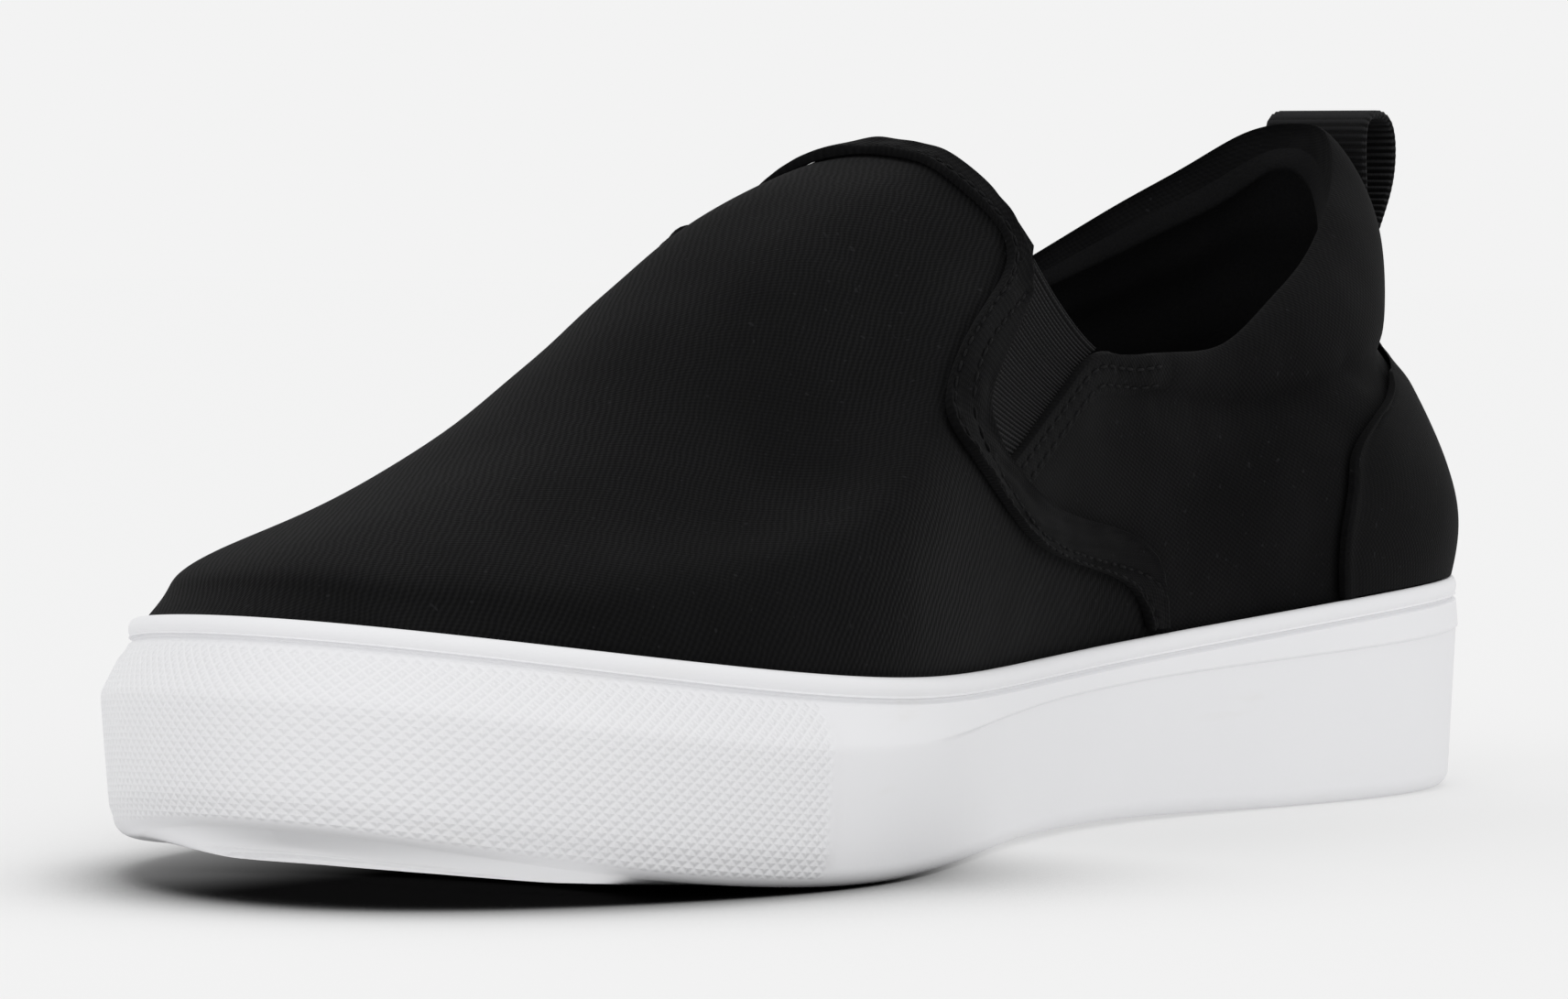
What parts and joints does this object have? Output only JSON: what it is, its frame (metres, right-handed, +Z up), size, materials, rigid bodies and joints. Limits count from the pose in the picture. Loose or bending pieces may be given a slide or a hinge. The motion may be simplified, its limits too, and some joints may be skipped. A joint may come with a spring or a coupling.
{
  "type": "slip-on sneaker",
  "caption": "Low slip-on sneaker with a hollow twill upper, elastic side gores, a folded vamp band, a padded collar, a heel loop and a thick moulded cup sole.",
  "frame": {"origin": "on the floor, under the middle of the shoe's box", "axes": "-Y towards the toe, +X towards the big toe side of this right shoe, +Z up"},
  "size_m": [0.1002, 0.265, 0.0994],
  "materials": {
    "white_rubber": "matt",
    "black_twill": "woven twill",
    "grey_elastic": "ribbed elastic",
    "black_binding": "woven twill",
    "black_counter": "woven twill",
    "black_ribbon": "ribbed ribbon",
    "black_insole": "cloth over foam"
  },
  "bodies": {
    "root": {"sole": "white_rubber", "upper": "black_twill", "gore_left": "grey_elastic", "gore_right": "grey_elastic", "vamp_binding": "black_binding", "heel_counter": "black_counter", "pull_loop": "black_ribbon", "insole": "black_insole"}
  },
  "joints": []
}
